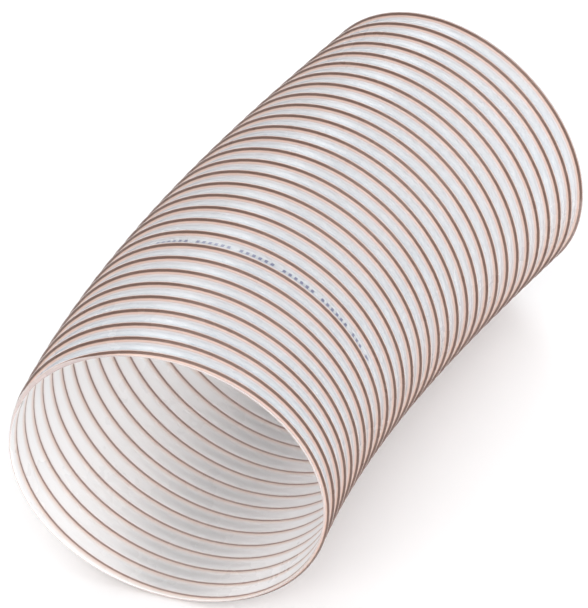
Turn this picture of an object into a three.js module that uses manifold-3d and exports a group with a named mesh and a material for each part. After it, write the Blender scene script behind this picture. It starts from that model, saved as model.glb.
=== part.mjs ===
// A cut length of large-bore polyurethane spiral hose, lying on its side in a slight curve.
// Two pieces: the film wall with its helical bead, and the spring-steel wire sealed inside the bead.
// Millimetres, +Z up. The origin is under the middle of the hose's box, on the floor it lies on, and
// +Y runs straight from the middle of the front cut to the middle of the rear cut.
import * as THREE from "three";
import { mergeVertices } from "three/addons/utils/BufferGeometryUtils.js";
import Module from "manifold-3d";

// The hose
const boreDiameter = 250;
const filmThickness = 1; // wall between two turns of the wire
const cutLength = 472; // along the curved centreline, from cut to cut
const pitch = 16.17; // from one turn of the wire to the next
const turnCrowding = 0.008; // on the left the turns stand this share closer together, on the right wider

// The bead that holds the wire, a low ridge on the outside
const beadHeight = 3; // above the film
const beadBaseWidth = 6.2;
const beadCrestWidth = 3;

// The wire and the tunnel that it lies in
const wireDiameter = 2.4;
const wireClearance = 0.3;
const wireDepth = 2; // from the bead's crest down to the wire's centre
const wirePhase = 85; // degrees clockwise from the left side, where it passes the middle of the front cut

// How the hose lies: its bend eases off from the front to the rear
const frontBendRadius = 770;
const rearBendRadius = 7000;

// The two cuts, made by hand and so a little out of square, in degrees
const frontCutLean = 1.4; // its top edge stands forward
const frontCutTurn = 0;
const rearCutLean = 0.6; // its top edge stands forward
const rearCutTurn = 2.8; // its left edge stands forward

// Facets: the middle of each one touches the real round surface, and one lies flat on the floor
const stepsPerTurn = 16;
const spareTurns = 1.5; // wound past each cut, then cut off
const centrelineSteps = 240;

const boreRadius = boreDiameter / 2;
const filmRadius = boreRadius + filmThickness;
const crestRadius = filmRadius + beadHeight;
const wireRadius = crestRadius - wireDepth;
const stepAngle = (2 * Math.PI) / stepsPerTurn;
const cornerReach = 1 / Math.cos(stepAngle / 2); // a corner's radius against that of a facet's middle
const up = new THREE.Vector3(0, 0, 1);

const wasm = await Module();
wasm.setup();

// Heading of the centreline, clockwise from +Y as seen from above. Past the cuts it runs straight.
function headingAt(s) {
  const along = THREE.MathUtils.clamp(s, 0, cutLength);
  const frontBend = 1 / frontBendRadius;
  const rearBend = 1 / rearBendRadius;
  return frontBend * along + ((rearBend - frontBend) * along * along) / (2 * cutLength);
}

// Points on the centreline at equal steps, before it is turned so that its ends lie along +Y
function walkCentreline() {
  const step = cutLength / centrelineSteps;
  const points = [new THREE.Vector2(0, 0)];
  for (let i = 0; i < centrelineSteps; i++) {
    const heading = headingAt((i + 0.5) * step);
    const last = points[i];
    points.push(new THREE.Vector2(last.x + step * Math.sin(heading), last.y + step * Math.cos(heading)));
  }
  return points;
}

const walked = walkCentreline();
const chord = walked[centrelineSteps].clone();
const chordAngle = Math.atan2(chord.x, chord.y);
const chordMiddle = chord.length() / 2;

// The section of the hose at the length s: its centre, the way it points, and its left side
function sectionAt(s) {
  const step = cutLength / centrelineSteps;
  const along = THREE.MathUtils.clamp(s, 0, cutLength);
  const i = Math.min(Math.floor(along / step), centrelineSteps - 1);
  const flat = walked[i].clone().lerp(walked[i + 1], along / step - i);
  const heading = headingAt(s);
  flat.x += (s - along) * Math.sin(heading);
  flat.y += (s - along) * Math.cos(heading);
  const turned = heading - chordAngle;
  const forward = new THREE.Vector3(Math.sin(turned), Math.cos(turned), 0);
  const centre = new THREE.Vector3(
    flat.x * Math.cos(chordAngle) - flat.y * Math.sin(chordAngle),
    flat.x * Math.sin(chordAngle) + flat.y * Math.cos(chordAngle) - chordMiddle,
    crestRadius,
  );
  return { centre, forward, left: new THREE.Vector3().crossVectors(up, forward) };
}

// A point of the wound section: angle is clockwise from the left side as seen from the front
function pointAt(s, angle, radius) {
  const { centre, left } = sectionAt(s);
  return centre
    .addScaledVector(left, radius * Math.cos(angle))
    .addScaledVector(up, radius * Math.sin(angle));
}

// The angle of a corner between two facets
function cornerAngle(step) {
  return (step + 0.5) * stepAngle;
}

// Where the wire's centre is along the hose after it has turned by angle from the left side
function wireAlong(angle) {
  const localPitch = pitch * (1 - turnCrowding * Math.cos(angle));
  return localPitch * (angle / (2 * Math.PI) - wirePhase / 360);
}

// A closed mesh as a solid, from its vertex coordinates and the corners of its triangles
function solidFrom(coordinates, corners) {
  return new wasm.Manifold(
    new wasm.Mesh({
      numProp: 3,
      vertProperties: new Float32Array(coordinates),
      triVerts: new Uint32Array(corners),
    }),
  );
}

// The wall before it is cut: an outer skin with the bead and a plain inner skin, both wound with the
// wire's pitch, so that each turn of the strip joins on to the next
function wallBlank() {
  const film = [-beadBaseWidth / 2, filmRadius];
  const flank = [-beadCrestWidth / 2, crestRadius];
  const outer = [film, flank, [beadCrestWidth / 2, crestRadius], [beadBaseWidth / 2, filmRadius]];
  const firstStep = -Math.round(spareTurns * stepsPerTurn);
  const lastStep = Math.round((cutLength / pitch + spareTurns) * stepsPerTurn);
  const steps = lastStep - firstStep;
  const points = [];
  for (let j = 0; j <= steps + stepsPerTurn; j++) {
    const angle = cornerAngle(firstStep + j);
    const s = wireAlong(angle);
    for (const [offset, radius] of outer)
      points.push(pointAt(s + offset, angle, radius * cornerReach));
    points.push(pointAt(s + film[0], angle, boreRadius * cornerReach));
  }
  const rowPoints = outer.length + 1;
  // the outer profile runs on into the first point of the next turn
  const outside = (j, q) =>
    q < outer.length ? j * rowPoints + q : (j + stepsPerTurn) * rowPoints;
  const inside = (j) => j * rowPoints + outer.length;
  const triangles = [];
  const quad = (a, b, c, d) => triangles.push(a, b, c, a, c, d);
  for (let j = 0; j < steps; j++) {
    for (let q = 0; q < outer.length; q++)
      quad(outside(j, q), outside(j + 1, q), outside(j + 1, q + 1), outside(j, q + 1));
    quad(inside(j), inside(j + stepsPerTurn), inside(j + 1 + stepsPerTurn), inside(j + 1));
  }
  // the open helical edges and the step in each, at both ends
  for (let j = 0; j < stepsPerTurn; j++) {
    const k = steps + j;
    quad(outside(j, 0), inside(j), inside(j + 1), outside(j + 1, 0));
    quad(outside(k, 0), outside(k + 1, 0), inside(k + 1), inside(k));
  }
  for (let q = 0; q < outer.length; q++) {
    triangles.push(inside(0), outside(0, q), outside(0, q + 1));
    triangles.push(inside(steps), outside(steps, q + 1), outside(steps, q));
  }
  triangles.push(inside(0), outside(stepsPerTurn, 0), inside(stepsPerTurn));
  triangles.push(inside(steps), inside(steps + stepsPerTurn), outside(steps + stepsPerTurn, 0));
  return solidFrom(points.flatMap((p) => p.toArray()), triangles);
}

// A point beside the wire's line, on the straight run between the two corners next to the angle
function besideWire(angle, along, out) {
  const step = Math.floor(angle / stepAngle - 0.5);
  const before = cornerAngle(step);
  const after = cornerAngle(step + 1);
  const radius = (wireRadius + out) * cornerReach;
  return pointAt(wireAlong(before) + along, before, radius).lerp(
    pointAt(wireAlong(after) + along, after, radius),
    (angle - before) / stepAngle,
  );
}

// A square-section rod that follows the wire between two angles, with flat ends
function woundRod(side, fromAngle, toAngle) {
  const corners = [[-1, -1], [-1, 1], [1, 1], [1, -1]];
  const angles = [fromAngle];
  const firstStep = Math.floor(fromAngle / stepAngle - 0.5) + 1;
  for (let j = firstStep; cornerAngle(j) < toAngle; j++) angles.push(cornerAngle(j));
  angles.push(toAngle);
  const points = [];
  for (const angle of angles)
    for (const [along, out] of corners)
      points.push(besideWire(angle, (along * side) / 2, (out * side) / 2));
  const triangles = [];
  const at = (j, q) => j * corners.length + (q % corners.length);
  for (let j = 0; j < angles.length - 1; j++)
    for (let q = 0; q < corners.length; q++) {
      triangles.push(at(j, q), at(j + 1, q + 1), at(j, q + 1));
      triangles.push(at(j, q), at(j + 1, q), at(j + 1, q + 1));
    }
  const end = angles.length - 1;
  triangles.push(at(0, 0), at(0, 1), at(0, 2), at(0, 0), at(0, 2), at(0, 3));
  triangles.push(at(end, 0), at(end, 2), at(end, 1), at(end, 0), at(end, 3), at(end, 2));
  return solidFrom(points.flatMap((p) => p.toArray()), triangles);
}

// The plane of a cut: where it crosses the centreline, and its normal into the hose
function cutPlane(s, lean, turn) {
  const { centre, forward, left } = sectionAt(s);
  const normal = forward
    .clone()
    .addScaledVector(up, Math.tan(THREE.MathUtils.degToRad(lean)))
    .addScaledVector(left, Math.tan(THREE.MathUtils.degToRad(turn)))
    .normalize();
  return { centre, normal };
}

const frontCut = cutPlane(0, frontCutLean, frontCutTurn);
const rearCut = cutPlane(cutLength, rearCutLean, rearCutTurn);

// A block with one face on a cut's plane, which takes away what lies past it
function blockPast(cut, direction) {
  const size = 4 * crestRadius;
  const box = new THREE.BoxGeometry(size, size, size);
  box.deleteAttribute("normal");
  box.deleteAttribute("uv");
  box.translate(0, 0, size / 2);
  const away = cut.normal.clone().multiplyScalar(direction);
  box.applyQuaternion(new THREE.Quaternion().setFromUnitVectors(up, away));
  box.translate(cut.centre.x, cut.centre.y, cut.centre.z);
  const merged = mergeVertices(box);
  return solidFrom(merged.attributes.position.array, merged.index.array);
}

// The angle at which the wire's centre has come a given way inside a cut
function angleInside(cut, direction, depth, guess) {
  const depthAt = (angle) =>
    direction * besideWire(angle, 0, 0).sub(cut.centre).dot(cut.normal);
  const halfTurn = Math.PI;
  let outside = guess - direction * halfTurn;
  let inside = guess + direction * halfTurn;
  for (let i = 0; i < 40; i++) {
    const middle = (outside + inside) / 2;
    if (depthAt(middle) < depth) outside = middle;
    else inside = middle;
  }
  return inside;
}

function geometryOf(solid) {
  const mesh = solid.getMesh();
  const geometry = new THREE.BufferGeometry();
  geometry.setAttribute("position", new THREE.BufferAttribute(mesh.vertProperties, 3));
  geometry.setIndex(new THREE.BufferAttribute(mesh.triVerts, 1));
  geometry.computeVertexNormals();
  return geometry;
}

// The wall, with the wire's tunnel open at both cuts
function hoseWall() {
  const wireSide = wireDiameter * Math.sqrt(Math.PI / 4); // a square of the round wire's area
  const spare = spareTurns * Math.PI;
  const turned = (cutLength / pitch) * 2 * Math.PI;
  const tunnel = woundRod(wireSide + 2 * wireClearance, -spare, turned + spare);
  const solid = wallBlank()
    .subtract(tunnel)
    .subtract(blockPast(frontCut, -1))
    .subtract(blockPast(rearCut, 1));
  const polyurethane = new THREE.MeshStandardMaterial({
    color: 0xe6e8ee,
    roughness: 0.25,
    metalness: 0,
    transparent: true,
    opacity: 0.45,
  });
  const mesh = new THREE.Mesh(geometryOf(solid), polyurethane);
  mesh.name = "hose_wall";
  return mesh;
}

// The wire, snipped off square where it would come out of each cut
function wireHelix() {
  const wireSide = wireDiameter * Math.sqrt(Math.PI / 4);
  const depth = wireSide / 2 + wireClearance;
  const startAngle = THREE.MathUtils.degToRad(wirePhase);
  const turned = startAngle + (cutLength / pitch) * 2 * Math.PI;
  const from = angleInside(frontCut, 1, depth, startAngle);
  const to = angleInside(rearCut, -1, depth, turned);
  const coppered = new THREE.MeshStandardMaterial({ color: 0x9a5a3c, roughness: 0.35, metalness: 1 });
  const mesh = new THREE.Mesh(geometryOf(woundRod(wireSide, from, to)), coppered);
  mesh.name = "wire_helix";
  return mesh;
}

const hose = new THREE.Group();
hose.add(hoseWall(), wireHelix());
const extent = new THREE.Box3().setFromObject(hose);
const middle = extent.getCenter(new THREE.Vector3());
hose.position.set(-middle.x, -middle.y, -extent.min.z);
export default hose;
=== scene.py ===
# Large-bore polyurethane spiral hose: a milky film wall, and the coppered spring wire in its bead
import math

import bmesh
import bpy
from mathutils import Matrix, Vector


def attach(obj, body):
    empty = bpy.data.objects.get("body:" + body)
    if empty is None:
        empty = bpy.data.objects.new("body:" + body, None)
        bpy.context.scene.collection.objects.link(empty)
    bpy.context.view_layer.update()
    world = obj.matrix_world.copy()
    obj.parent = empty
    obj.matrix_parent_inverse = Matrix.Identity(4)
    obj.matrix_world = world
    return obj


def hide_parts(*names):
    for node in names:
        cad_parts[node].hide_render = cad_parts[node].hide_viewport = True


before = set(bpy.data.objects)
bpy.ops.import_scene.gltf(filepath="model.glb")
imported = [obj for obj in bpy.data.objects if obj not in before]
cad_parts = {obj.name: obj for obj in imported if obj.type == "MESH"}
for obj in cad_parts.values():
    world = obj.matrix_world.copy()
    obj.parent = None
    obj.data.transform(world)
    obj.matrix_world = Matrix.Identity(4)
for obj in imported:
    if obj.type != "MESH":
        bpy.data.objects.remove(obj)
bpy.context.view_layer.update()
print("frame loaded")

# How the hose lies: sizes as in the CAD part, in metres and degrees
hoseForm = {
    "boreRadius": 0.125,
    "film": 0.001,
    "beadHeight": 0.003,
    "cutLength": 0.472,
    "pitch": 0.01617,
    "crowding": 0.008,  # the turns stand this share closer together on the left, and wider on the right
    "wirePhase": 85.0,
    "frontBendRadius": 0.77,
    "rearBendRadius": 7.0,
    "frontLean": 1.4,
    "frontTurn": 0.0,
    "rearLean": 0.6,
    "rearTurn": 2.8,
    "chordMiddle": (0.01027, 0.00897),  # of the line between the two cuts' centres
    "spare": 0.04,  # straight run of centreline past each cut
    "stepsPerTurn": 96,
    "turnsPastCuts": 1,
}
crestRadius = hoseForm["boreRadius"] + hoseForm["film"] + hoseForm["beadHeight"]
turnCount = math.ceil(hoseForm["cutLength"] / hoseForm["pitch"]) + 2 * hoseForm["turnsPastCuts"]


# Heading of the centreline, clockwise from +Y, at a length s from the front cut
def headingAt(s):
    along = min(max(s, 0), hoseForm["cutLength"])
    frontBend = 1 / hoseForm["frontBendRadius"]
    rearBend = 1 / hoseForm["rearBendRadius"]
    return frontBend * along + (rearBend - frontBend) * along**2 / (2 * hoseForm["cutLength"])


# The centreline as a curve object, with a spare run past each cut, then the front cut and its heading
def makeCentreline(steps=300):
    total = hoseForm["cutLength"] + 2 * hoseForm["spare"]
    step = total / steps
    points = [Vector((0, 0, 0))]
    for i in range(steps):
        heading = headingAt((i + 0.5) * step - hoseForm["spare"])
        points.append(points[-1] + step * Vector((math.sin(heading), math.cos(heading), 0)))

    def pointAt(s):
        i, rest = divmod((s + hoseForm["spare"]) / step, 1)
        return points[int(i)].lerp(points[int(i) + 1], rest)

    front, rear = pointAt(0), pointAt(hoseForm["cutLength"])
    chord = rear - front
    chordHeading = math.atan2(chord.x, chord.y)
    turn = Matrix.Rotation(chordHeading, 4, "Z")
    middle = turn @ ((front + rear) / 2)
    place = Vector((*hoseForm["chordMiddle"], crestRadius)) - middle
    data = bpy.data.curves.new("centreline", "CURVE")
    data.dimensions = "3D"
    spline = data.splines.new("POLY")
    spline.points.add(steps)
    for point, spot in zip(points, spline.points):
        spot.co = (*(turn @ point + place), 1)
    curve = bpy.data.objects.new("centreline", data)
    bpy.context.collection.objects.link(curve)
    return curve, turn @ front + place, -chordHeading


centreline, frontCentre, frontHeading = makeCentreline()


# A small kit for writing formulas as nodes: each call adds a node and gives its output socket
class NodeSums:
    def __init__(self, tree):
        self.tree = tree

    def wire(self, value, socket):
        if isinstance(value, bpy.types.NodeSocket):
            self.tree.links.new(value, socket)
        else:
            socket.default_value = value

    def add(self, kind, inputs=(), **settings):
        node = self.tree.nodes.new(kind)
        for name, value in settings.items():
            setattr(node, name, value)
        for key, value in dict(inputs).items():
            self.wire(value, node.inputs[key])
        return node

    def math(self, operation, *values):
        node = self.add("ShaderNodeMath", operation=operation)
        for socket, value in zip(node.inputs, values):
            self.wire(value, socket)
        return node.outputs[0]

    def sum(self, first, *rest):
        for value in rest:
            first = self.math("ADD", first, value)
        return first

    def times(self, first, *rest):
        for value in rest:
            first = self.math("MULTIPLY", first, value)
        return first

    def minus(self, first, second):
        return self.math("SUBTRACT", first, second)

    def vector(self, operation, *values):
        node = self.add("ShaderNodeVectorMath", operation=operation)
        for socket, value in zip(node.inputs, values):
            self.wire(value, socket)
        return node.outputs["Value" if operation in {"DOT_PRODUCT", "LENGTH"} else "Vector"]

    def scaled(self, direction, amount):
        node = self.add("ShaderNodeVectorMath", operation="SCALE")
        self.wire(direction, node.inputs[0])
        self.wire(amount, node.inputs["Scale"])
        return node.outputs["Vector"]


def newTree(name, inputs, outputs):
    tree = bpy.data.node_groups.new(name, "GeometryNodeTree")
    for label, kind, value in inputs:
        socket = tree.interface.new_socket(label, in_out="INPUT", socket_type=kind)
        if value is not None:
            socket.default_value = value
    for label, kind in outputs:
        tree.interface.new_socket(label, in_out="OUTPUT", socket_type=kind)
    given = tree.nodes.new("NodeGroupInput")
    result = tree.nodes.new("NodeGroupOutput")
    return tree, NodeSums(tree), given.outputs, result.inputs


# Node group: a point at an angle round the centreline and a length along it
def pointOnHoseTree():
    tree, sums, given, result = newTree(
        "pointOnHose",
        [
            ("Centreline", "NodeSocketObject", None),
            ("Along", "NodeSocketFloat", 0.0),
            ("Angle", "NodeSocketFloat", 0.0),
            ("Radius", "NodeSocketFloat", 0.1),
            ("Spare", "NodeSocketFloat", 0.04),
        ],
        [("Position", "NodeSocketVector")],
    )
    curve = sums.add("GeometryNodeObjectInfo", {"Object": given["Centreline"]}).outputs["Geometry"]
    sample = sums.add("GeometryNodeSampleCurve", mode="LENGTH", use_all_curves=True)
    sums.wire(curve, sample.inputs["Curves"])
    sums.wire(sums.sum(given["Along"], given["Spare"]), sample.inputs["Length"])
    up = (0.0, 0.0, 1.0)
    left = sums.vector("NORMALIZE", sums.vector("CROSS_PRODUCT", up, sample.outputs["Tangent"]))
    sideways = sums.scaled(left, sums.times(given["Radius"], sums.math("COSINE", given["Angle"])))
    height = sums.add("ShaderNodeCombineXYZ")
    sums.wire(sums.times(given["Radius"], sums.math("SINE", given["Angle"])), height.inputs["Z"])
    offset = sums.vector("ADD", sideways, height.outputs[0])
    sums.wire(sums.vector("ADD", sample.outputs["Position"], offset), result["Position"])
    return tree


pointOnHose = pointOnHoseTree()

# The film wall
wallForm = {
    "beadCrest": 0.0006,  # half width of the rounded crest
    "beadBase": 0.0031,  # half width where the bead meets the film
    "filmSag": 0.0004,  # the film dips this much half way between two beads
    "profileSteps": 16,
    "profileCrowding": 1.5,  # above 1, the steps lie closer together near the bead
    "innerSteps": 4,
    "innerTurns": 100.0,  # the inside's turns are numbered from here, so that a material can tell
    "rimTurns": 200.0,  # and the cut rims' turns from here
    "weld": 0.00002,
}


def putOnHose(sums, along, angle, radius, given):
    node = sums.add("GeometryNodeGroup", node_tree=pointOnHose)
    for label, value in {
        "Centreline": given["Centreline"],
        "Along": along,
        "Angle": angle,
        "Radius": radius,
        "Spare": hoseForm["spare"],
    }.items():
        sums.wire(value, node.inputs[label])
    return node.outputs["Position"]


# The pitch at an angle, and the length along the hose at which the wire passes after some turns
def windingAt(sums, turns, given):
    angle = sums.times(turns, 2 * math.pi)
    squeeze = sums.minus(1.0, sums.times(sums.math("COSINE", angle), given["Crowding"]))
    pitch = sums.times(given["Pitch"], squeeze)
    started = sums.math("DIVIDE", given["Wire Phase"], 2 * math.pi)
    return angle, pitch, sums.times(pitch, sums.minus(turns, started))


# The wall as one closed skin: the wound outside, the wound inside, and a flat rim at each cut
def hoseWallTree():
    tree, sums, given, result = newTree(
        "windHoseWall",
        [
            ("Geometry", "NodeSocketGeometry", None),
            ("Centreline", "NodeSocketObject", None),
            ("Bore Radius", "NodeSocketFloat", 0.1),
            ("Film", "NodeSocketFloat", 0.001),
            ("Pitch", "NodeSocketFloat", 0.01),
            ("Crowding", "NodeSocketFloat", 0.0),
            ("Length", "NodeSocketFloat", 0.4),
            ("Turns", "NodeSocketFloat", 10.0),
            ("Wire Phase", "NodeSocketFloat", 0.0),
            ("Bead Height", "NodeSocketFloat", 0.003),
            ("Bead Crest", "NodeSocketFloat", 0.001),
            ("Bead Base", "NodeSocketFloat", 0.003),
            ("Film Sag", "NodeSocketFloat", 0.0004),
            ("Front Lean", "NodeSocketFloat", 0.0),
            ("Front Turn", "NodeSocketFloat", 0.0),
            ("Rear Lean", "NodeSocketFloat", 0.0),
            ("Rear Turn", "NodeSocketFloat", 0.0),
            ("Steps Per Turn", "NodeSocketInt", 24),
            ("Profile Steps", "NodeSocketInt", 8),
            ("Inner Steps", "NodeSocketInt", 2),
            ("Weld", "NodeSocketFloat", 0.00002),
            ("Material", "NodeSocketMaterial", None),
        ],
        [("Geometry", "NodeSocketGeometry")],
    )
    filmRadius = sums.sum(given["Bore Radius"], given["Film"])

    # where a cut's plane crosses the film at an angle
    def cutAt(angle, lean, turn, base):
        lift = sums.times(sums.math("TANGENT", lean), sums.math("SINE", angle))
        side = sums.times(sums.math("TANGENT", turn), sums.math("COSINE", angle))
        return sums.minus(base, sums.times(filmRadius, sums.sum(lift, side)))

    def frontCut(angle):
        return cutAt(angle, given["Front Lean"], given["Front Turn"], 0.0)

    def rearCut(angle):
        return cutAt(angle, given["Rear Lean"], given["Rear Turn"], given["Length"])

    # radius of the outside at an offset from the wire's line
    def outerRadius(offset):
        reach = sums.math("ABSOLUTE", offset)
        bead = sums.add("ShaderNodeMapRange", interpolation_type="SMOOTHSTEP")
        for label, value in {
            "Value": reach,
            "From Min": given["Bead Crest"],
            "From Max": given["Bead Base"],
            "To Min": given["Bead Height"],
            "To Max": 0.0,
        }.items():
            sums.wire(value, bead.inputs[label])
        sag = sums.add("ShaderNodeMapRange", interpolation_type="SMOOTHSTEP")
        for label, value in {
            "Value": reach,
            "From Min": given["Bead Base"],
            "From Max": sums.times(given["Pitch"], 0.5),
            "To Min": 0.0,
            "To Max": given["Film Sag"],
        }.items():
            sums.wire(value, sag.inputs[label])
        return sums.minus(sums.sum(filmRadius, bead.outputs[0]), sag.outputs[0])

    place = sums.add("GeometryNodeInputPosition").outputs[0]
    flat = sums.add("ShaderNodeSeparateXYZ", {"Vector": place})
    turns = sums.sum(sums.times(sums.sum(flat.outputs["X"], 0.5), given["Turns"]), -1.0)
    angle, pitch, wireAlong = windingAt(sums, turns, given)
    frontLimit, rearLimit = frontCut(angle), rearCut(angle)

    def clampAlong(along):
        return sums.math("MINIMUM", sums.math("MAXIMUM", along, frontLimit), rearLimit)

    def skin(profileSteps, radiusOf, crowd, numberedFrom):
        grid = sums.add("GeometryNodeMeshGrid", {"Size X": 1.0, "Size Y": 1.0})
        columns = sums.sum(sums.times(given["Turns"], given["Steps Per Turn"]), 1.0)
        sums.wire(columns, grid.inputs["Vertices X"])
        sums.wire(sums.sum(profileSteps, 1.0), grid.inputs["Vertices Y"])
        across = flat.outputs["Y"]
        crowded = sums.math("POWER", sums.times(sums.math("ABSOLUTE", across), 2.0), crowd)
        share = sums.times(sums.math("SIGN", across), crowded, 0.5)
        along = sums.sum(wireAlong, sums.times(share, pitch))
        kept = clampAlong(along)
        offset = sums.minus(kept, wireAlong)
        inside = sums.times(
            sums.math("GREATER_THAN", along, frontLimit), sums.math("LESS_THAN", along, rearLimit)
        )
        marked = sums.add(
            "GeometryNodeStoreNamedAttribute",
            {"Geometry": grid.outputs["Mesh"], "Name": "inside", "Value": inside},
            data_type="FLOAT",
            domain="POINT",
        )
        winding = sums.add("ShaderNodeCombineXYZ", {"X": sums.sum(turns, numberedFrom), "Y": offset})
        mapped = sums.add(
            "GeometryNodeStoreNamedAttribute",
            {"Geometry": marked.outputs[0], "Name": "winding", "Value": winding.outputs[0]},
            data_type="FLOAT2",
            domain="CORNER",
        )
        insideFaces = sums.add(
            "GeometryNodeInputNamedAttribute", {"Name": "inside"}, data_type="FLOAT"
        ).outputs["Attribute"]
        trimmed = sums.add(
            "GeometryNodeDeleteGeometry",
            {"Geometry": mapped.outputs[0], "Selection": sums.math("LESS_THAN", insideFaces, 0.001)},
            domain="FACE",
            mode="ALL",
        )
        moved = sums.add(
            "GeometryNodeSetPosition",
            {
                "Geometry": trimmed.outputs[0],
                "Position": putOnHose(sums, kept, angle, radiusOf(offset), given),
            },
        )
        return moved.outputs[0]

    def rim(cutOf):
        grid = sums.add("GeometryNodeMeshGrid", {"Size X": 1.0, "Size Y": 1.0, "Vertices Y": 2})
        sums.wire(sums.sum(given["Steps Per Turn"], 1.0), grid.inputs["Vertices X"])
        rimTurns = sums.sum(flat.outputs["X"], 0.5)
        rimAngle, rimPitch, rimWire = windingAt(sums, rimTurns, given)
        along = cutOf(rimAngle)
        half = sums.times(rimPitch, 0.5)
        pastWire = sums.sum(sums.minus(along, rimWire), half)
        offset = sums.minus(sums.math("FLOORED_MODULO", pastWire, rimPitch), half)
        share = sums.sum(flat.outputs["Y"], 0.5)
        outside = sums.times(outerRadius(offset), share)
        radius = sums.sum(outside, sums.times(given["Bore Radius"], sums.minus(1.0, share)))
        rimNumber = sums.sum(rimTurns, wallForm["rimTurns"])
        winding = sums.add("ShaderNodeCombineXYZ", {"X": rimNumber, "Y": offset})
        mapped = sums.add(
            "GeometryNodeStoreNamedAttribute",
            {"Geometry": grid.outputs["Mesh"], "Name": "winding", "Value": winding.outputs[0]},
            data_type="FLOAT2",
            domain="CORNER",
        )
        moved = sums.add(
            "GeometryNodeSetPosition",
            {"Geometry": mapped.outputs[0], "Position": putOnHose(sums, along, rimAngle, radius, given)},
        )
        return moved.outputs[0]

    join = sums.add("GeometryNodeJoinGeometry")
    for piece in (
        skin(given["Profile Steps"], outerRadius, wallForm["profileCrowding"], 0.0),
        skin(given["Inner Steps"], lambda offset: given["Bore Radius"], 1.0, wallForm["innerTurns"]),
        rim(frontCut),
        rim(rearCut),
    ):
        tree.links.new(piece, join.inputs[0])
    welded = sums.add(
        "GeometryNodeMergeByDistance", {"Geometry": join.outputs[0], "Distance": given["Weld"]}
    )
    real = sums.add("GeometryNodeRealizeInstances", {"Geometry": welded.outputs[0]})
    finished = sums.add(
        "GeometryNodeSetMaterial", {"Geometry": real.outputs[0], "Material": given["Material"]}
    )
    sums.wire(finished.outputs[0], result["Geometry"])
    return tree


# The wire, wound in the same way
wireForm = {
    "radius": 0.0012,
    "lineRadius": 0.127,
    "sides": 10,
    "startTurn": 0.16,  # snipped just inside the front cut
    "endTurn": 29.5,  # and just inside the rear cut
}


def wireHelixTree():
    tree, sums, given, result = newTree(
        "windWireHelix",
        [
            ("Geometry", "NodeSocketGeometry", None),
            ("Centreline", "NodeSocketObject", None),
            ("Wire Radius", "NodeSocketFloat", 0.001),
            ("Line Radius", "NodeSocketFloat", 0.1),
            ("Pitch", "NodeSocketFloat", 0.01),
            ("Crowding", "NodeSocketFloat", 0.0),
            ("Start Turn", "NodeSocketFloat", 0.0),
            ("End Turn", "NodeSocketFloat", 10.0),
            ("Wire Phase", "NodeSocketFloat", 0.0),
            ("Steps Per Turn", "NodeSocketInt", 24),
            ("Sides", "NodeSocketInt", 8),
            ("Material", "NodeSocketMaterial", None),
        ],
        [("Geometry", "NodeSocketGeometry")],
    )
    wound = sums.minus(given["End Turn"], given["Start Turn"])
    steps = sums.math("ROUND", sums.times(wound, given["Steps Per Turn"]))
    line = sums.add("GeometryNodeMeshLine", mode="OFFSET", count_mode="TOTAL")
    sums.wire(sums.sum(steps, 1.0), line.inputs["Count"])
    index = sums.add("GeometryNodeInputIndex").outputs[0]
    turns = sums.sum(given["Start Turn"], sums.times(wound, sums.math("DIVIDE", index, steps)))
    angle, _, along = windingAt(sums, turns, given)
    bent = sums.add(
        "GeometryNodeSetPosition",
        {
            "Geometry": line.outputs["Mesh"],
            "Position": putOnHose(sums, along, angle, given["Line Radius"], given),
        },
    )
    path = sums.add("GeometryNodeMeshToCurve", {"Mesh": bent.outputs[0]})
    section = sums.add("GeometryNodeCurvePrimitiveCircle", mode="RADIUS")
    sums.wire(given["Sides"], section.inputs["Resolution"])
    sums.wire(given["Wire Radius"], section.inputs["Radius"])
    rod = sums.add(
        "GeometryNodeCurveToMesh",
        {"Curve": path.outputs[0], "Profile Curve": section.outputs["Curve"], "Fill Caps": True},
    )
    real = sums.add("GeometryNodeRealizeInstances", {"Geometry": rod.outputs[0]})
    finished = sums.add(
        "GeometryNodeSetMaterial", {"Geometry": real.outputs[0], "Material": given["Material"]}
    )
    sums.wire(finished.outputs[0], result["Geometry"])
    return tree


# Runs a tree on an empty object and keeps its result as a plain mesh with outward faces
def meshFromTree(name, tree, values):
    blank = bpy.data.objects.new(name + "Blank", bpy.data.meshes.new(name + "Blank"))
    bpy.context.collection.objects.link(blank)
    modifier = blank.modifiers.new("wind", "NODES")
    modifier.node_group = tree
    for socket in tree.interface.items_tree:
        if socket.in_out == "INPUT" and socket.name in values:
            modifier[socket.identifier] = values[socket.name]
    evaluated = blank.evaluated_get(bpy.context.evaluated_depsgraph_get())
    mesh = bpy.data.meshes.new_from_object(evaluated)
    bpy.data.objects.remove(blank)
    work = bmesh.new()
    work.from_mesh(mesh)
    bmesh.ops.recalc_face_normals(work, faces=work.faces)
    for face in work.faces:
        face.smooth = True
    work.to_mesh(mesh)
    work.free()
    mesh.name = name
    piece = bpy.data.objects.new(name, mesh)
    bpy.context.collection.objects.link(piece)
    return piece


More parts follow.
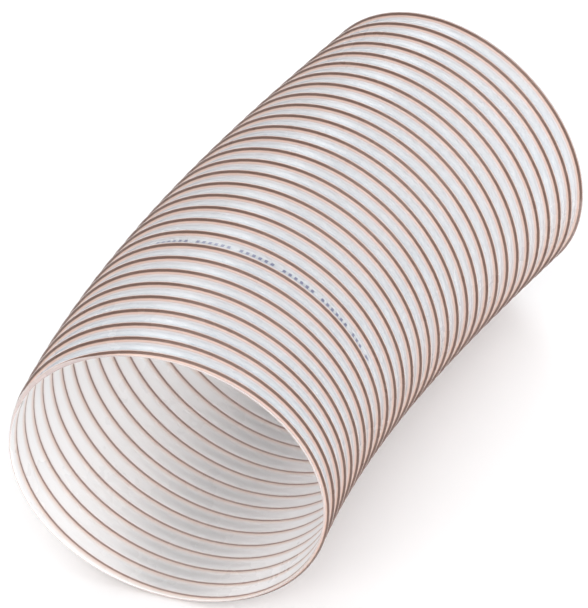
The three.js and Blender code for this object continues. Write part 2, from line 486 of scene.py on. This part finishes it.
# Shader node group: slow and fine unevenness of a surface, from 0 to 1
def unevennessGroup():
    tree = bpy.data.node_groups.new("unevenness", "ShaderNodeTree")
    for label, value in (("Slow Scale", 8.0), ("Fine Scale", 90.0), ("Fine Share", 0.3)):
        socket = tree.interface.new_socket(label, in_out="INPUT", socket_type="NodeSocketFloat")
        socket.default_value = value
    tree.interface.new_socket("Value", in_out="OUTPUT", socket_type="NodeSocketFloat")
    given = tree.nodes.new("NodeGroupInput").outputs
    result = tree.nodes.new("NodeGroupOutput").inputs
    sums = NodeSums(tree)
    place = sums.add("ShaderNodeTexCoord").outputs["Object"]
    slow = sums.add("ShaderNodeTexNoise", {"Vector": place, "Scale": given["Slow Scale"], "Detail": 3.0})
    fine = sums.add("ShaderNodeTexNoise", {"Vector": place, "Scale": given["Fine Scale"], "Detail": 2.0})
    slowPart = sums.times(slow.outputs["Fac"], sums.minus(1.0, given["Fine Share"]))
    sums.wire(sums.sum(slowPart, sums.times(fine.outputs["Fac"], given["Fine Share"])), result["Value"])
    return tree


unevenness = unevennessGroup()


def newMaterial(name, **settings):
    material = bpy.data.materials.new(name)
    material.use_nodes = True
    sums = NodeSums(material.node_tree)
    shader = material.node_tree.nodes["Principled BSDF"]
    for label, value in settings.items():
        shader.inputs[label.replace("_", " ")].default_value = value
    return material, sums, shader


def mixColour(sums, share, first, second):
    node = sums.add("ShaderNodeMix", data_type="RGBA")
    sums.wire(share, node.inputs[0])
    sums.wire(first, node.inputs[6])
    sums.wire(second, node.inputs[7])
    return node.outputs[2]


def ramped(sums, value, low, high, atLow, atHigh):
    node = sums.add("ShaderNodeMapRange", interpolation_type="SMOOTHSTEP")
    for label, amount in {
        "Value": value,
        "From Min": low,
        "From Max": high,
        "To Min": atLow,
        "To Max": atHigh,
    }.items():
        sums.wire(amount, node.inputs[label])
    return node.outputs[0]


# A colour ramp across the pitch: each stop is an offset from the wire's line, a colour and its share
def acrossPitch(sums, offset, stops):
    ramp = sums.add("ShaderNodeValToRGB")
    sums.wire(sums.sum(sums.math("DIVIDE", offset, hoseForm["pitch"]), 0.5), ramp.inputs[0])
    points = ramp.color_ramp.elements
    while len(points) < len(stops):
        points.new(0.5)
    for point, (away, colour, share) in zip(points, stops):
        point.position = away / hoseForm["pitch"] + 0.5
        point.color = (*colour, share)
    return ramp.outputs["Color"], ramp.outputs["Alpha"]


filmLook = {
    "milk": (0.53, 0.64, 0.74, 1.0),
    "milkWarm": (0.62, 0.61, 0.63, 1.0),
    "lowTint": (0.66, 0.53, 0.48, 1.0),  # warmer towards the floor
    "lowHeights": (0.05, 0.19),
    "lowShare": 0.8,
    # the inside of the same film is painted much lighter than the outside: a painted glow for light that
    # comes through the wall
    "innerMilkPaintedGlow": (0.93, 0.94, 0.97, 1.0),
    "rim": (0.50, 0.42, 0.40, 1.0),
    # painted reflection of the wire on the film: the wire shows as a thin dark line on the front flank
    # of the bead, copper glows before it as a painted glow, and a painted highlight gives it a lit tan
    # edge behind
    "paintedWireReflectionBands": (
        (-0.0058, (0.84, 0.72, 0.68), 0.0),
        (-0.0038, (0.80, 0.65, 0.60), 0.45),
        (-0.0031, (0.60, 0.44, 0.37), 0.8),
        (-0.0027, (0.76, 0.57, 0.50), 0.9),
        (-0.0022, (0.70, 0.50, 0.42), 0.95),
        (-0.0018, (0.23, 0.14, 0.11), 1.0),
        (-0.0010, (0.23, 0.14, 0.11), 1.0),
        (-0.0005, (0.46, 0.31, 0.26), 1.0),
        (0.0001, (0.66, 0.56, 0.53), 0.8),
        (0.0030, (0.68, 0.67, 0.69), 0.0),
    ),
    # how solid the film looks: clearer over the wire, milky on the flanks of the bead
    "solidBands": (
        (-0.0056, 0.5),
        (-0.0044, 0.72),
        (-0.0022, 0.8),
        (-0.0018, 0.55),
        (-0.0008, 0.55),
        (-0.0004, 0.85),
        (0.0030, 0.7),
        (0.0045, 0.5),
    ),
    # the wire as it shows on the inside, painted: a dark line with a painted tan glow on both sides
    "innerPaintedWireReflectionBands": (
        (-0.0064, (0.88, 0.75, 0.68), 0.0),
        (-0.0036, (0.86, 0.70, 0.61), 0.6),
        (-0.0012, (0.74, 0.56, 0.48), 0.85),
        (-0.0007, (0.36, 0.26, 0.23), 1.0),
        (0.0006, (0.36, 0.26, 0.23), 1.0),
        (0.0012, (0.82, 0.72, 0.68), 0.5),
        (0.0040, (0.88, 0.82, 0.80), 0.0),
    ),
    "innerSolid": 0.9,
    "roughness": (0.22, 0.396),
    "scatter": 0.004,
}

# Ink on the film: plain ticks in groups along part of one turn, with a small arrowhead at the end
inkLook = {
    "colour": (0.09, 0.10, 0.19, 1.0),
    "strength": 0.95,
    "turns": (8.165, 8.42),
    "ticksPerTurn": 150.0,
    "tickShare": 0.5,
    "ticksInGroup": 7.0,
    "groupShare": 0.8,
    "offset": 0.0073,
    "height": 0.0048,
    "arrowTurns": (8.427, 8.435),
}


def inkMask(sums, turn, offset):
    def between(value, low, high):
        return sums.times(sums.math("GREATER_THAN", value, low), sums.math("LESS_THAN", value, high))

    ticks = sums.times(turn, inkLook["ticksPerTurn"])
    tick = sums.math("LESS_THAN", sums.math("FRACT", ticks), inkLook["tickShare"])
    group = sums.math("FRACT", sums.math("DIVIDE", sums.math("FLOOR", ticks), inkLook["ticksInGroup"]))
    inGroup = sums.math("LESS_THAN", group, inkLook["groupShare"])
    aside = sums.math("ABSOLUTE", sums.minus(offset, inkLook["offset"]))
    half = inkLook["height"] / 2
    written = between(turn, *inkLook["turns"])
    line = sums.times(written, tick, inGroup, sums.math("LESS_THAN", aside, half))
    tail, tip = inkLook["arrowTurns"]
    narrowing = sums.times(sums.minus(tip, turn), half / (tip - tail))
    arrow = sums.times(between(turn, tail, tip), sums.math("LESS_THAN", aside, narrowing))
    return sums.times(sums.math("MAXIMUM", line, arrow), inkLook["strength"])


def polyurethaneFilm():
    material, sums, shader = newMaterial(
        "polyurethaneFilm",
        Coat_Weight=0.25,
        Coat_Roughness=0.16,
        Specular_IOR_Level=0.5,
        Subsurface_Weight=1.0,
        Subsurface_Scale=filmLook["scatter"],
        Subsurface_Radius=(1.0, 1.0, 1.0),
    )
    winding = sums.add("ShaderNodeUVMap", uv_map="winding").outputs["UV"]
    parts = sums.add("ShaderNodeSeparateXYZ", {"Vector": winding})
    turn, offset = parts.outputs["X"], parts.outputs["Y"]
    mottle = sums.add("ShaderNodeGroup", {"Slow Scale": 9.0, "Fine Scale": 60.0}, node_tree=unevenness)
    milk = mixColour(sums, mottle.outputs["Value"], filmLook["milk"], filmLook["milkWarm"])
    place = sums.add("ShaderNodeTexCoord").outputs["Object"]
    height = sums.add("ShaderNodeSeparateXYZ", {"Vector": place}).outputs["Z"]
    lowShare = ramped(sums, height, *filmLook["lowHeights"], filmLook["lowShare"], 0.0)
    milk = mixColour(sums, lowShare, milk, filmLook["lowTint"])
    # the wire's painted reflection, glow and highlight, on the outside and on the inside of the film
    paintedReflection, paintedReflectionShare = acrossPitch(sums, offset, filmLook["paintedWireReflectionBands"])
    innerPaintedReflection, innerPaintedReflectionShare = acrossPitch(sums, offset, filmLook["innerPaintedWireReflectionBands"])
    ink = inkMask(sums, turn, offset)
    inner = sums.math("GREATER_THAN", turn, wallForm["innerTurns"] / 2)
    rim = sums.math("GREATER_THAN", turn, wallForm["rimTurns"] - wallForm["innerTurns"] / 2)
    outerColour = mixColour(sums, paintedReflectionShare, milk, paintedReflection)
    innerColour = mixColour(sums, innerPaintedReflectionShare, filmLook["innerMilkPaintedGlow"], innerPaintedReflection)
    colour = mixColour(sums, inner, outerColour, innerColour)
    colour = mixColour(sums, rim, mixColour(sums, ink, colour, inkLook["colour"]), filmLook["rim"])
    sums.wire(colour, shader.inputs["Base Color"])
    solidStops = [(away, (0, 0, 0), share) for away, share in filmLook["solidBands"]]
    _, outerSolid = acrossPitch(sums, offset, solidStops)
    innerPart = sums.times(inner, filmLook["innerSolid"])
    outerPart = sums.times(sums.minus(1.0, inner), outerSolid)
    sums.wire(sums.math("MAXIMUM", sums.sum(innerPart, outerPart), ink), shader.inputs["Alpha"])
    rough = ramped(sums, mottle.outputs["Value"], 0.3, 0.7, *filmLook["roughness"])
    sums.wire(rough, shader.inputs["Roughness"])
    return material


wireLook = {
    # both tones are copper painted dark, a painted dark reflection standing in for dark surroundings
    # mirrored in the metal; they differ at random
    "bright": (0.23, 0.14, 0.11, 1.0),
    "dull": (0.10, 0.06, 0.047, 1.0),
    "roughness": (0.26, 0.364),
}


def copperedWire():
    material, sums, shader = newMaterial("copperedWire", Metallic=1.0)
    mottle = sums.add("ShaderNodeGroup", {"Slow Scale": 14.0, "Fine Scale": 400.0}, node_tree=unevenness)
    colour = mixColour(sums, mottle.outputs["Value"], wireLook["bright"], wireLook["dull"])
    sums.wire(colour, shader.inputs["Base Color"])
    rough = ramped(sums, mottle.outputs["Value"], 0.3, 0.7, *wireLook["roughness"])
    sums.wire(rough, shader.inputs["Roughness"])
    return material


hoseWall = meshFromTree(
    "hoseFilm",
    hoseWallTree(),
    {
        "Centreline": centreline,
        "Bore Radius": hoseForm["boreRadius"],
        "Film": hoseForm["film"],
        "Pitch": hoseForm["pitch"],
        "Crowding": hoseForm["crowding"],
        "Length": hoseForm["cutLength"],
        "Turns": float(turnCount),
        "Wire Phase": math.radians(hoseForm["wirePhase"]),
        "Bead Height": hoseForm["beadHeight"],
        "Bead Crest": wallForm["beadCrest"],
        "Bead Base": wallForm["beadBase"],
        "Film Sag": wallForm["filmSag"],
        "Front Lean": math.radians(hoseForm["frontLean"]),
        "Front Turn": math.radians(hoseForm["frontTurn"]),
        "Rear Lean": math.radians(hoseForm["rearLean"]),
        "Rear Turn": math.radians(hoseForm["rearTurn"]),
        "Steps Per Turn": hoseForm["stepsPerTurn"],
        "Profile Steps": wallForm["profileSteps"],
        "Inner Steps": wallForm["innerSteps"],
        "Weld": wallForm["weld"],
        "Material": polyurethaneFilm(),
    },
)
print("film wall wound:", len(hoseWall.data.polygons), "faces")

wire = meshFromTree(
    "springWire",
    wireHelixTree(),
    {
        "Centreline": centreline,
        "Wire Radius": wireForm["radius"],
        "Line Radius": wireForm["lineRadius"],
        "Pitch": hoseForm["pitch"],
        "Crowding": hoseForm["crowding"],
        "Start Turn": wireForm["startTurn"],
        "End Turn": wireForm["endTurn"],
        "Wire Phase": math.radians(hoseForm["wirePhase"]),
        "Steps Per Turn": hoseForm["stepsPerTurn"],
        "Sides": wireForm["sides"],
        "Material": copperedWire(),
    },
)
print("wire wound:", len(wire.data.polygons), "faces")
bpy.data.objects.remove(centreline)

for piece, node, slot in (
    (hoseWall, "hose_wall", "polyurethane_film"),
    (wire, "wire_helix", "coppered_wire"),
):
    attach(piece, "root")
    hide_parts(node)

# The camera: where the photograph was taken from, worked out from the hose's outline
cameraSetup = {
    "distance": 26.03 * crestRadius,  # to the middle of the front cut, along the view
    "right": -0.7568 * crestRadius,  # of the front cut's middle from the view's centre line
    "above": -1.0457 * crestRadius,
    "elevation": 40.5,
    "heading": -16.51,  # of the view, from the hose's own heading at the front cut
    "focalPixels": 4415.0,
    "framePixels": 608.0,
    "sensorWidth": 36.0,
    "farthest": 50,
}


def addCamera():
    data = bpy.data.cameras.new("camera")
    data.sensor_width = cameraSetup["sensorWidth"]
    data.lens = cameraSetup["focalPixels"] * data.sensor_width / cameraSetup["framePixels"]
    data.clip_end = cameraSetup["farthest"]
    camera = bpy.data.objects.new("camera", data)
    bpy.context.collection.objects.link(camera)
    heading = frontHeading + math.radians(cameraSetup["heading"])
    elevation = math.radians(cameraSetup["elevation"])
    away = Vector((math.sin(heading), math.cos(heading), 0))
    right = Vector((math.cos(heading), -math.sin(heading), 0))
    up = Vector((0, 0, 1)) * math.cos(elevation) + away * math.sin(elevation)
    back = -away * math.cos(elevation) + Vector((0, 0, 1)) * math.sin(elevation)
    place = (
        frontCentre
        - right * cameraSetup["right"]
        - up * cameraSetup["above"]
        + back * cameraSetup["distance"]
    )
    turned = Matrix((right, up, back)).transposed().to_4x4()
    camera.matrix_world = Matrix.Translation(place) @ turned
    bpy.context.scene.camera = camera


addCamera()

# Floor and light
studio = {
    "floorHalf": 8.0,
    "floorColour": (0.96, 0.96, 0.965, 1.0),
    "ambient": (1.0, 1.0, 1.0, 1.0),
    "ambientStrength": 0.85,
}

# Each light: where it shines from, its strength, its spread in degrees and its colour
lights = {
    "keyLight": ((-0.44, 0.68, 0.59), 0.45, 26.0, (0.95, 0.98, 1.0)),
    "fillLight": ((0.20, -0.85, 0.50), 1.65, 60.0, (1.0, 0.99, 0.98)),
    "sideLight": ((0.85, -0.25, 0.45), 0.7, 60.0, (0.97, 0.98, 1.0)),
}


def addStudio():
    bpy.ops.mesh.primitive_plane_add(size=2 * studio["floorHalf"])
    floor = bpy.context.object
    floor.name = "floor"
    paint, _, shader = newMaterial("paleFloor", Roughness=0.9)
    shader.inputs["Base Color"].default_value = studio["floorColour"]
    floor.data.materials.append(paint)
    world = bpy.data.worlds.new("softRoom")
    world.use_nodes = True
    background = world.node_tree.nodes["Background"]
    background.inputs["Color"].default_value = studio["ambient"]
    background.inputs["Strength"].default_value = studio["ambientStrength"]
    bpy.context.scene.world = world
    for name, (source, strength, spread, colour) in lights.items():
        data = bpy.data.lights.new(name, "SUN")
        data.energy = strength
        data.angle = math.radians(spread)
        data.color = colour
        light = bpy.data.objects.new(name, data)
        light.rotation_euler = Vector(source).to_track_quat("Z", "Y").to_euler()
        bpy.context.collection.objects.link(light)
    bpy.context.scene.view_settings.view_transform = "Standard"


addStudio()
print("studio set")

bpy.context.view_layer.update()
